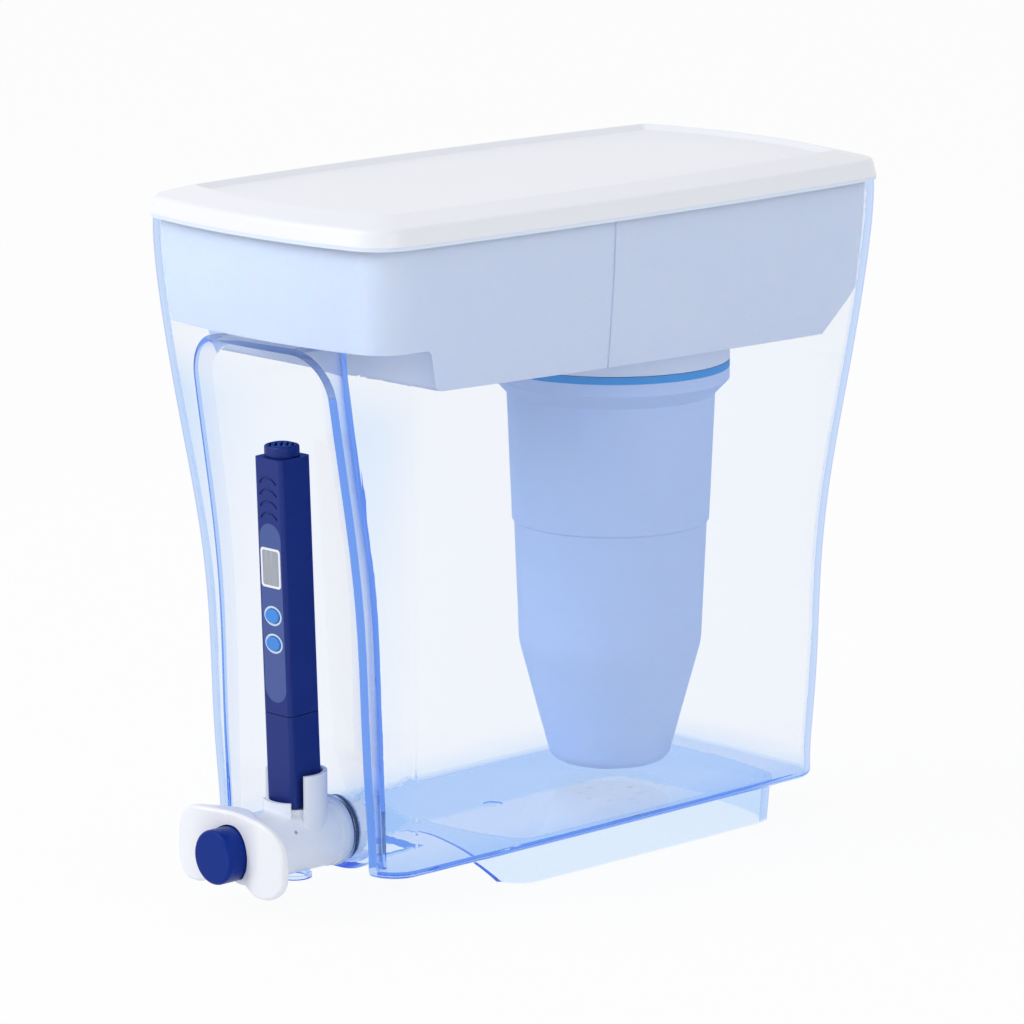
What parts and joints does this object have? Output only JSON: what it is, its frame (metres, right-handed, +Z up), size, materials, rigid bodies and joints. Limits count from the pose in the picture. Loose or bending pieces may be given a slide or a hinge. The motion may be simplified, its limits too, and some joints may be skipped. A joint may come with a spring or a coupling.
{
  "type": "gravity water filter dispenser",
  "caption": "Clear tank with a lidded reservoir, screw-in gravity filter, push-button tap and a pen water meter in a front niche.",
  "frame": {"origin": "centre of the whole object's plan, on the surface that the skirt stands on", "axes": "+Z up, -Y towards the user, out through the tap; X is the object's width and Y its length"},
  "size_m": [0.1476, 0.3134, 0.276],
  "materials": {
    "clear_blue": "clear, light blue",
    "frosted_blue": "frosted",
    "white_plastic": "satin",
    "filter_blue": "satin",
    "blue_seal": "matt",
    "membrane_white": "matt",
    "resin_amber": "granular",
    "carbon_black": "granular",
    "foam_white": "foam",
    "tap_white": "gloss",
    "wing_white": "gloss",
    "button_blue": "gloss",
    "seal_rubber": "matt",
    "spring_steel": "bright",
    "spout_clear": "clear, light blue",
    "gasket_clear": "translucent",
    "meter_blue": "satin",
    "panel_grey": "satin",
    "bezel_white": "satin",
    "display_grey": "gloss",
    "key_blue": "satin",
    "cell_steel": "bright",
    "board_green": "satin",
    "probe_white": "satin",
    "probe_metal": "bright"
  },
  "bodies": {
    "tank": {"tank_shell": "clear_blue", "tap_body": "tap_white", "wing_plate": "wing_white", "outer_gasket": "gasket_clear", "inner_gasket": "gasket_clear", "lock_nut": "tap_white", "spout_nozzle": "spout_clear", "stem_bush": "tap_white", "return_spring": "spring_steel"},
    "reservoir": {"reservoir_tray": "frosted_blue"},
    "lid": {"lid": "white_plastic"},
    "filter_ring": {"filter_seal_ring": "blue_seal"},
    "filter": {"filter_cup": "filter_blue", "filter_cap": "filter_blue", "outlet_membrane": "membrane_white", "resin_bed": "resin_amber", "carbon_bed": "carbon_black", "foam_distributor": "foam_white", "coarse_screen": "membrane_white"},
    "button": {"tap_button": "button_blue", "valve_stem": "tap_white", "valve_seal": "seal_rubber"},
    "meter_cap": {"meter_cap": "meter_blue"},
    "meter": {"meter_case": "meter_blue", "face_panel": "panel_grey", "display_bezel": "bezel_white", "display_window": "display_grey", "circuit_board": "board_green", "probe_block": "probe_white", "probe_pins": "probe_metal", "button_cells": "cell_steel"},
    "battery_cap": {"battery_cap": "meter_blue"},
    "power_key": {"power_key": "key_blue"},
    "hold_key": {"hold_key": "key_blue"}
  },
  "joints": [
    {"name": "reservoir_lift", "type": "slide", "parent": "tank", "child": "reservoir", "axis": [0, 0, 1], "range_m": [0, 0.25]},
    {"name": "lid_lift", "type": "slide", "parent": "reservoir", "child": "lid", "axis": [0, 0, 1], "range_m": [0, 0.2]},
    {"name": "filter_drop", "type": "slide", "parent": "reservoir", "child": "filter_ring", "axis": [0, 0, -1], "range_m": [0, 0.004]},
    {"name": "filter_turn", "type": "hinge", "parent": "filter_ring", "child": "filter", "pos_m": [0, 0.05845, 0.19], "axis": [0, 0, 1], "range_deg": [0, 360]},
    {"name": "button_press", "type": "slide", "parent": "tank", "child": "button", "axis": [0, 1, 0], "range_m": [0, 0.006], "stiffness_N_per_m": 400, "springref_m": -0.01, "deforming": ["return_spring"]},
    {"name": "meter_cap_lift", "type": "slide", "parent": "tank", "child": "meter_cap", "axis": [0, -0.0384, 0.9993], "range_m": [0, 0.014]},
    {"name": "meter_draw", "type": "slide", "parent": "meter_cap", "child": "meter", "axis": [0, -0.0384, 0.9993], "range_m": [0, 0.017]},
    {"name": "battery_cap_draw", "type": "slide", "parent": "meter", "child": "battery_cap", "axis": [0, -0.0384, 0.9993], "range_m": [0, 0.005]},
    {"name": "power_key_press", "type": "slide", "parent": "meter", "child": "power_key", "axis": [0, 0.9993, 0.0384], "range_m": [0, 0.0005], "stiffness_N_per_m": 1500, "springref_m": -0.0003},
    {"name": "hold_key_press", "type": "slide", "parent": "meter", "child": "hold_key", "axis": [0, 0.9993, 0.0384], "range_m": [0, 0.0005], "stiffness_N_per_m": 1500, "springref_m": -0.0003}
  ],
  "couplings": [
    {"joint": "filter_drop", "follows": "filter_turn", "m_per_rad": 0.000636}
  ]
}
